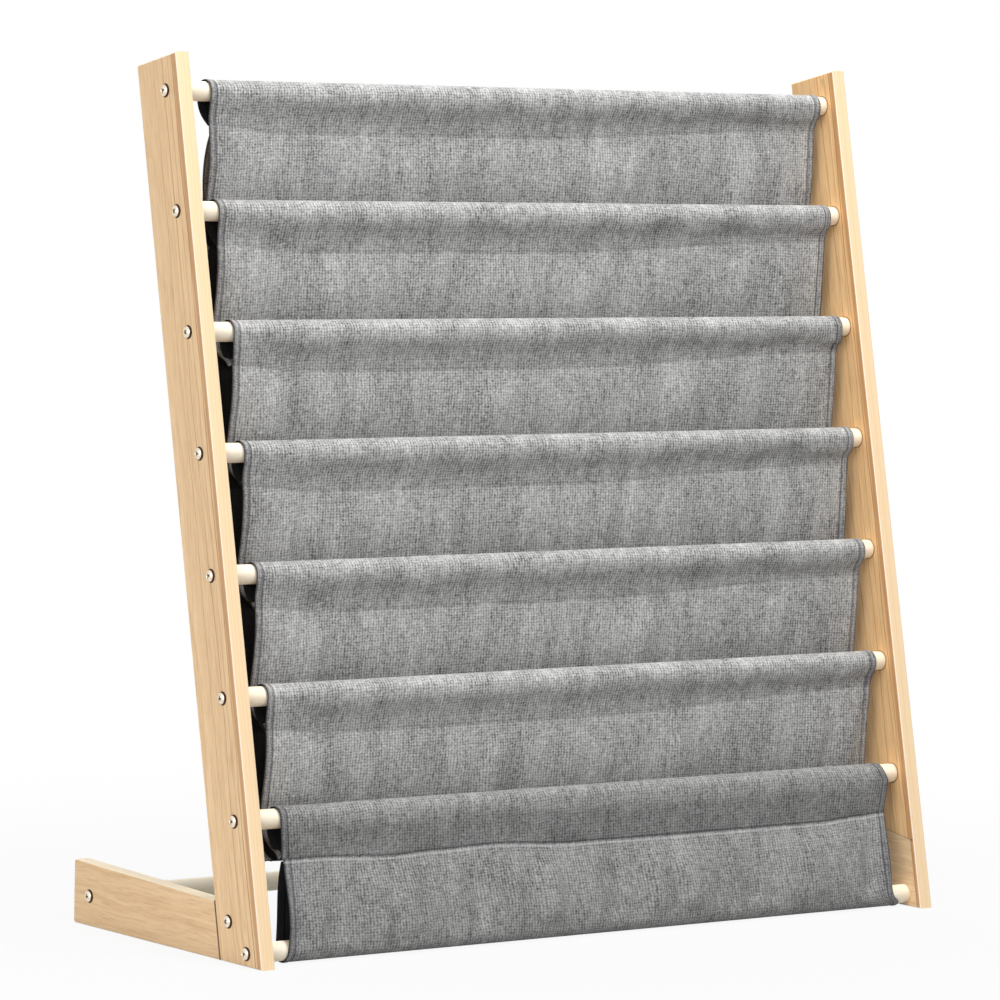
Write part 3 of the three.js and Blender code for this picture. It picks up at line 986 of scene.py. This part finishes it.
# Grey plain weave: slubby threads both ways, in pairs, and a fine over-and-under relief
def clothFinish(name, seed, seamLightAndShade, level=1.0):
    f = Finish(name)

    def cloud(x, xScale, y, yScale, shift, detail=2.0, rough=0.5):
        return f.noise(f.join(f.times(x, xScale), f.times(y, yScale), seed + shift), detail, rough)

    def swing(value, share, low=0.3, high=0.7):
        return f.stretch(value, low, high, -share, share)

    placeU, placeV = f.uvParts("weave")
    waves = cloud(placeU, 55, placeV, 30, 0.0), cloud(placeU, 30, placeV, 55, 1.9)
    u, v = (
        f.add(f.times(place, 1 / pitch), f.times(wave, weave["wander"]))
        for place, pitch, wave in zip((placeU, placeV), weave["pitch"], waves)
    )
    warpOne, weftOne = f.math("FLOOR", u), f.math("FLOOR", v)
    over = f.math("FLOORED_MODULO", f.add(warpOne, weftOne), 2.0)
    roundU, roundV = (f.math("SINE", f.times(f.math("FRACT", value), math.pi)) for value in (u, v))
    warpHigh = f.times(roundU, f.add(0.35, f.times(over, 0.65)))
    weftHigh = f.times(roundV, f.add(0.35, f.times(f.math("SUBTRACT", 1.0, over), 0.65)))
    height = f.math("MAXIMUM", warpHigh, weftHigh)
    # the threads lie in pairs, with a darker gap between pair and pair
    pairU, pairV = (f.math("ROUND", f.times(value, 0.5)) for value in (u, v))
    openU = cloud(pairU, weave["pairStep"], v, 0.16, 5.0)
    openV = cloud(u, 0.16, pairV, weave["pairStep"], 9.0)
    gaps = [
        f.times(f.math("COSINE", f.times(value, math.pi)), f.stretch(width, 0.3, 0.7, 0.35, 1.3), -share)
        for value, width, share in zip((u, v), (openU, openV), weave["gapShare"])
    ]
    # each thread has its own tone, which drifts along it
    warpTone = cloud(warpOne, weave["threadStep"], v, 0.10, 0.0, rough=0.65)
    weftTone = cloud(u, 0.12, weftOne, weave["threadStep"], 7.3, rough=0.65)
    speck = cloud(u, 0.62, v, 0.55, 3.1, 1.0, 0.6)
    crossing = f.node("ShaderNodeTexWhiteNoise", {"Vector": f.join(warpOne, weftOne, seed)})
    streak = cloud(u, 0.055, v, 0.014, 6.1, rough=0.6)
    tone = f.add(
        swing(warpTone, weave["warpShare"]),
        swing(weftTone, weave["weftShare"]),
        *gaps,
        swing(speck, weave["speckShare"]),
        swing(crossing.outputs["Value"], weave["crossShare"], 0.0, 1.0),
        swing(streak, weave["streakShare"]),
        # painted shade and light on the weave's relief: low points darker, high points a little lighter
        f.stretch(height, 0.35, 1.0, -0.12, 0.04),
    )
    colour = f.mix(f.stretch(tone, -0.8, 0.8), paint(*weave["dark"]), paint(*weave["light"]))
    fromEdge, fromSeam = f.uvParts("seams")
    # painted shade: the cloth is darker in the band under a dowel, above a seam; below the seam it is a
    # little darker, more so low in a panel
    underDowelShade = f.stretch(fromSeam, -0.046, -0.030, 0.0, 1.0, True)
    above = f.stretch(fromSeam, -0.002, 0.002, 1.0, 0.0, True)
    panel = f.stretch(fromSeam, -0.001, 0.003, 0.0, -weave["panelShare"], True)
    lower = f.stretch(fromSeam, 0.010, 0.050, 0.0, -weave["lowerShare"], True)
    colour = f.shaded(colour, f.add(level, f.times(underDowelShade, above, -weave["bandShadeShare"]), panel, lower))
    hem = f.stretch(fromEdge, 0.0072, 0.0084, 1.0, 0.0, True)
    # painted shade in the stitch groove and along the folded edge
    grooveShade = f.line(fromEdge, 0.0083, 0.0012, 0.0011)
    rim = f.line(fromEdge, 0.0, 0.0020, 0.0005)
    for mask, look in ((hem, "hem"), (grooveShade, "grooveShade"), (rim, "rim")):
        colour = f.tint(colour, mask, *weave[look])
    # painted highlight and shadow lines along the seam
    for middle, width, share, grey in seamLightAndShade:
        colour = f.tint(colour, f.line(fromSeam, middle, width, 0.0010), share, (grey,) * 3)
    f.surface({"Base Color": colour, "Roughness": weave["roughness"], "Specular IOR Level": 0.2})
    f.surface({"Sheen Weight": 0.10, "Sheen Roughness": 0.5})
    f.bump(f.add(height, f.times(tone, 0.8)), weave["relief"], 0.75)
    return f.look


# The cloth's inner face, painted near black: painted shade inside the sleeves, on the hem folds and on the
# back layer's seen side
def insideShadeFinish():
    f = Finish("paintedShadeInside")
    uv = f.node("ShaderNodeUVMap", uv_map="weave").outputs[0]
    threads = f.noise(f.mapping(uv, scale=(700, 700, 1)), 2.0, 0.6)
    broad = f.noise(f.mapping(uv, scale=(60, 12, 1)), 2.0)
    colour = f.mix(f.stretch(threads, 0.3, 0.7), paint(24, 25, 28), paint(46, 48, 52))
    colour = f.mix(f.stretch(broad, 0.4, 0.7, 0.0, 0.3), colour, paint(54, 56, 60))
    f.surface({"Base Color": colour, "Roughness": 0.95, "Specular IOR Level": 0.1})
    f.bump(threads, 0.0002, 0.6)
    return f.look


# Lines along a seam: (distance below it, width, share, grey). The light lines are a painted highlight on the
# seam's fold, the dark line a painted shadow above it
softSeamHighlight = [(0.0012, 0.0010, 0.10, 200)]
sewnSeamShadeAndHighlight = [(-0.0010, 0.0006, 0.30, 64), (0.0018, 0.0009, 0.30, 214)]
clothLooks = [clothFinish(f"greyWeave{n + 1}", 4.0 * n, softSeamHighlight) for n in range(3)]
lowestLook = clothFinish("greyWeaveLowest", 17.0, sewnSeamShadeAndHighlight, 0.69)
insideShadeLook = insideShadeFinish()

stitch = {
    "Stitch spacing": 0.0036,
    "Stitch length": 0.0026,
    "Thread width": 0.00042,
}


# Lays stitches end to end along an edge line
def stitchTree(look):
    tree, given, inputs = geometryTree("stitchesAlongLine", stitch)
    curve = addNode(tree, "GeometryNodeMeshToCurve", {"Mesh": given["Geometry"]})
    ways = {"Curve": curve.outputs[0], "Length": given["Stitch spacing"]}
    even = addNode(tree, "GeometryNodeResampleCurve", ways, mode="LENGTH")
    tangent = addNode(tree, "GeometryNodeInputTangent").outputs[0]
    turn = addNode(tree, "FunctionNodeAlignRotationToVector", {"Vector": tangent}, axis="Z")
    bead = addNode(tree, "GeometryNodeMeshUVSphere", {"Segments": 6, "Rings": 5, "Radius": 0.5})
    width = given["Thread width"]
    size = addNode(tree, "ShaderNodeCombineXYZ", {0: width, 1: width, 2: given["Stitch length"]})
    endTree(tree, look, {
        "Points": even.outputs[0],
        "Instance": bead.outputs["Mesh"],
        "Rotation": turn.outputs["Rotation"],
        "Scale": size.outputs[0],
    })
    return tree, inputs


threadLook = cloudFinish("sewingThread", 900, 1.0, ((92, 93, 97), (138, 139, 142)), 0.7)
stitchLayer, stitchInputs = stitchTree(threadLook)


def makeStitches(name, paths):
    points, edges = [], []
    for path in paths:
        start = len(points)
        points += path.tolist()
        edges += [(start + n, start + n + 1) for n in range(len(path) - 1)]
    mesh = bpy.data.meshes.new(name)
    mesh.from_pydata(points, edges, [])
    piece = addObject(name, mesh)
    applyTree(piece, stitchLayer, stitchInputs)
    rideRoot(piece)
    return piece


# Makes one length of cloth. shapeAt gives its parts for the places across, wrinkle their relief,
# seamPart names the part that ends at the seam, and hemParts those whose hems show their stitches.
# seamStitches are (part, rows above its end, side), and a shift is (share of the way down, inwards).
def makeCloth(
    name, nodeNames, edges, shapeAt, wrinkle, look, foldSign=-1.0, seamPart=None, hemParts=(),
    seamStitches=(), leftShift=((0, 0),), rightShift=((0, 0),), paintedShadeFront=False,
):
    left, right = edges
    columns, folds = columnsAcross(left, right, foldSign)
    x, deep = columns[:, 0], columns[:, 2]
    shape = joinParts(shapeAt(x))
    fromEdge = np.minimum(x - left, right - x)
    away = wrinkle(shape, x[None, :]) + deep + hemRelief(fromEdge) * (deep == 0)
    flat = shape["line"] + shape["normal"] * away[..., None]
    sway = ripples(len(name) * 7 + len(nodeNames), [(3, 0.09, 0.2, 0.0, 0.0011)])(shape["along"].mean(1), 0.0)
    nearEdge = (1 - ease(fromEdge, 0.0, 0.05)) * np.where(x < 0, 1, -1)
    across = x + sway[:, None] * nearEdge
    height = flat[..., 1]
    down = np.clip((height.max() - height) / np.ptp(height), 0, 1)
    for shifts, inward in ((leftShift, x - left), (rightShift, right - x)):
        share, shift = zip(*shifts)
        across = across + np.interp(down, share, shift) * (1 - ease(inward, 0.0, 0.20))
    points = np.dstack([across, flat])
    seamRow = lastRow(shape, seamPart) if seamPart else 0
    seamGap = shape["along"] - shape["along"][seamRow] + (0.0 if seamPart else 1.0)
    mesh = clothMesh(name, columns, folds, points, shape["along"], seamGap)
    mesh.materials.append(look)
    mesh.materials.append(insideShadeLook)
    piece = addObject(name, mesh)
    thick = piece.modifiers.new("thickness", "SOLIDIFY")
    thick.thickness = cloth["thickness"]
    thick.offset = 0.0
    # with a painted-shade front, the back layer's seen side takes the inner face's dark material
    thick.material_offset = -1 if paintedShadeFront else 1
    if paintedShadeFront:
        mesh.polygons.foreach_set("material_index", np.ones(len(mesh.polygons), np.int32))
    rideRoot(piece)
    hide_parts(*nodeNames)

    lift = cloth["thickness"] / 2 + stitch["Thread width"] * 0.1
    outward = np.dstack([np.zeros_like(away), shape["normal"]]) * lift
    paths = []
    if hemParts:
        chosen = np.isin(shape["names"], hemParts)
        for edge in (left + cloth["hemStitch"], right - cloth["hemStitch"]):
            column = folds + int(np.argmin(np.abs(x[folds:-folds] - edge)))
            paths.append((points + outward)[chosen, column])
    for part, above, side in seamStitches:
        at = lastRow(shape, part) - above
        paths.append((points[at] + outward[at] * side)[folds + 2:-folds - 2])
    withPieces = [makeStitches(name + "Stitches", paths)] if paths else []


# Up the back of a dowel and over it. The left end stands off the dowel.
def sleeveTop(index, x):
    centre, seam, lean, gap = dowelAt[index], seamAt(index, x), leftness(x), cloth["plyGap"]
    fromLeft = np.maximum(x - cloth["rowEdges"][index][0], 0)
    radius = cloth["sleeveRadius"] + cloth["endFlare"] * np.exp(-fromLeft / cloth["flareReach"])
    rear = bezier([
        seam + (gap, -0.0004),
        seam + spot(x, gap + 0.0040 + 0.009 * lean, 0.012 - 0.004 * lean),
        spot(x, centre.x + radius + 0.0010, centre.y - 0.020),
        spot(x, centre.x + radius, centre.y),
    ])
    return [("rear", rear, cloth["grid"]), ("over", arc(centre, radius, 0, 180), cloth["overGrid"])], radius


# The front of a sleeve, from the dowel's front down to the seam
def sleeveFront(index, x, radius):
    centre, seam, lean = dowelAt[index], seamAt(index, x), leftness(x)
    front = centre.x - radius
    leaves = ripples(70 + index, [(5, 0.05, 0.20, 0.0, 0.0060)])(x, 0.0)
    if index == 6:
        middle = [spot(x, front - 0.0012, centre.y - 0.015), spot(x, seam[:, 0] - 0.0006, centre.y - 0.030)]
    else:
        middle = [
            spot(x, front - 0.0006, centre.y - 0.017 + leaves),
            spot(x, centre.x - 0.0035 - 0.0085 * lean, centre.y - 0.018 + 0.3 * leaves),
            seam + (-0.0010, 0.014),
        ]
    line = bezier([spot(x, front, centre.y), *middle, seam - (cloth["plyGap"], 0)])
    return "front", line, cloth["frontGrid"]


# One row of the sling: a sleeve whose front runs on down as the pocket's back wall
def makeRow(index):
    def shapeAt(x):
        top, radius = sleeveTop(index, x)
        start = seamAt(index, x) - (cloth["plyGap"], 0)
        levelY = dowelAt[index].x + cloth["panelBack"] - 0.0090 * leftness(x)
        level = spot(x, levelY, dowelAt[index + 1].y)
        meets = seamAt(index + 1, x) + (0.0018, 0)
        hang = bezier([start, start - (0.0012, 0.028), level + (-0.0035, 0.030), level])
        gather = bezier([level, level - (0, 0.034), meets + (0.0045, 0.012), meets])
        front = sleeveFront(index, x, radius)
        return top + [front, ("panel", hang, cloth["grid"]), ("gather", gather, cloth["grid"])]

    soft = ripples(100 + index, [(6, 0.050, 0.180, 0.30, 0.0011), (6, 0.022, 0.050, 0.4, 0.0004)])
    broad, fine = (4, 0.110, 0.300, 0.20, 0.0036), (6, 0.018, 0.036, 0.4, 0.0007)
    folds = ripples(300 + index, [broad, (6, 0.036, 0.100, 0.30, 0.0024), fine])
    pucker = ripples(400 + index, [(10, 0.007, 0.018, 0.2, 0.00028)])

    def wrinkle(shape, x):
        s = shape["along"]
        sleeve = onPart(shape, "front", (0.25, 0.60), (0.78, 1.0)) + arched(shape, "rear") * 0.8
        pocket = onPart(shape, "panel", (0.02, 0.55)) + onPart(shape, "gather", fall=(0.0, 0.70))
        relief = folds(x, s)
        relief = np.where(relief < 0, relief * cloth["foldBack"], relief)      # stays off the back layer
        tight = pucker(x, s * 0.2) * np.exp(-fromEnd(shape, "front") / 0.008)
        return soft(x, s) * sleeve + relief * pocket + tight

    makeCloth(
        f"slingRow{index + 1}", [f"sling_sleeve_{index + 1}", f"sling_pocket_{index + 1}"],
        cloth["rowEdges"][index], shapeAt, wrinkle, clothLooks[index % 3],
        seamPart="front", hemParts=("front", "panel"), seamStitches=[("front", 1, 1)],
        rightShift=((0.72, 0.0), (0.95, -0.0090)) if index == 5 else ((0, 0),),
    )


# The lowest sleeve ends at a sewn seam, over the top of the bottom panel
def makeLowestSleeve():
    def shapeAt(x):
        top, radius = sleeveTop(6, x)
        return top + [sleeveFront(6, x, radius)]

    soft = ripples(106, [(6, 0.060, 0.200, 0.3, 0.0012), (6, 0.022, 0.050, 0.4, 0.0005)])
    pucker = ripples(206, [(10, 0.006, 0.016, 0.2, 0.00032)])

    def wrinkle(shape, x):
        s = shape["along"]
        sleeve = onPart(shape, "front", (0.15, 0.6), (0.8, 1.0)) + arched(shape, "rear")
        return soft(x, s) * sleeve + pucker(x, s * 0.2) * np.exp(-fromEnd(shape, "front") / 0.006)

    makeCloth(
        "slingSleeve7", ["sling_sleeve_7"], cloth["rowEdges"][6], shapeAt, wrinkle, lowestLook,
        seamPart="front", hemParts=("front",), seamStitches=[("front", 1, 1)],
        rightShift=((0, -0.0080), (0.14, -0.0060), (0.30, 0.0), (1, -0.0080)),
    )


# The bottom panel hangs from the last seam, passes under the lowest dowel and comes up behind it
def makeBottomPanel():
    def shapeAt(x):
        seam = seamAt(6, x)
        puff = seam - (0.0016, 0.0016)
        tuck = bezier([seam + (0.0012, 0.0045), seam + (0.0010, 0.0012), puff])
        under = arc(dowelAt[7], cloth["sleeveRadius"] + 0 * x, 184, 365)
        first, last = under[0], under[-1]
        down = bezier([puff, puff - (0.0030, 0.012), first + (-0.0018, 0.03), first])
        rearTop = seam + (0.0046, -0.003)
        rear = bezier([last, last + (0.001, 0.03), rearTop + (0.004, -0.03), rearTop])
        front = [("tuck", tuck, cloth["tuckGrid"]), ("panel", down, cloth["grid"])]
        return front + [("under", under, cloth["overGrid"]), ("rear", rear, cloth["grid"])]

    broad, fine = (4, 0.110, 0.300, 0.20, 0.0036), (6, 0.018, 0.036, 0.4, 0.0008)
    folds = ripples(500, [broad, (6, 0.036, 0.095, 0.30, 0.0028), fine])
    pucker = ripples(501, [(10, 0.007, 0.018, 0.2, 0.00030)])

    def wrinkle(shape, x):
        s = shape["along"]
        loose = onPart(shape, "panel", (0.04, 0.45), (0.80, 1.0)) + arched(shape, "rear") * 0.7
        tight = (onPart(shape, "tuck") + onPart(shape, "panel")) * np.exp(-fromEnd(shape, "tuck") / 0.007)
        return folds(x, s) * loose + pucker(x, s * 0.2) * tight

    makeCloth(
        "slingBottomPanel", ["sling_bottom_panel"], cloth["rowEdges"][6], shapeAt, wrinkle,
        lowestLook, seamPart="tuck", hemParts=("panel",),
        leftShift=((0, 0.0050), (1, -0.0070)),
        rightShift=((0, -0.0080), (0.82, -0.0130), (0.89, -0.0110), (0.95, -0.0020), (1, 0.0)),
    )


# The outer back layer, caught at every seam and slack between them
def makeBackLayer():
    def caught(n, x):
        loose = cloth["looseEnds"][n] * (1 - ease(x - cloth["rowEdges"][0][0], 0.0, cloth["looseReach"]))
        return seamAt(n, x) + spot(x, 0.0036 + loose, -0.0034 if n else 0.0010)

    def shapeAt(x):
        parts = []
        for n in range(6):
            start, end = caught(n, x), caught(n + 1, x)
            slack = cloth["slack"] if n else cloth["slack"] * (0.80 - 0.30 * leftness(x))
            back = dowelAt[n].x + slack
            upper = spot(x, back, start[:, 1] * 0.75 + end[:, 1] * 0.25)
            lower = spot(x, back, dowelAt[n + 1].y * 0.4 + end[:, 1] * 0.6)
            parts.append((f"bay{n + 1}", bezier([start, upper, lower, end], 60), cloth["backGrid"]))
        return parts

    folds = ripples(600, [(5, 0.090, 0.260, 0.25, 0.0022), (6, 0.035, 0.090, 0.4, 0.0010)])
    pucker = ripples(601, [(10, 0.009, 0.024, 0.2, 0.0005)])

    def wrinkle(shape, x):
        share, s = shape["share"], shape["along"]
        slackHere = np.sin(math.pi * share)
        tight = (1 - slackHere) * ease(share, 0.0, 0.08) * (1 - ease(share, 0.92, 1.0))
        return -np.abs(folds(x, s)) * slackHere - np.abs(pucker(x, s * 0.1)) * tight

    makeCloth(
        "slingBackLayer", ["sling_back_layer"], cloth["backEdges"], shapeAt, wrinkle,
        clothLooks[2], foldSign=1.0,
        seamStitches=[(f"bay{n}", 0, -1) for n in range(1, 6)],
        leftShift=((0, 0.010), (0.11, 0.010), (0.16, -0.006), (1, -0.006)),
        rightShift=((0.93, 0.0), (0.975, -0.010)), paintedShadeFront=True,
    )


for index in range(6):
    makeRow(index)
print("cloth: six rows over the dowels")
makeLowestSleeve()
makeBottomPanel()
makeBackLayer()
print("cloth: lowest sleeve, bottom panel and back layer")
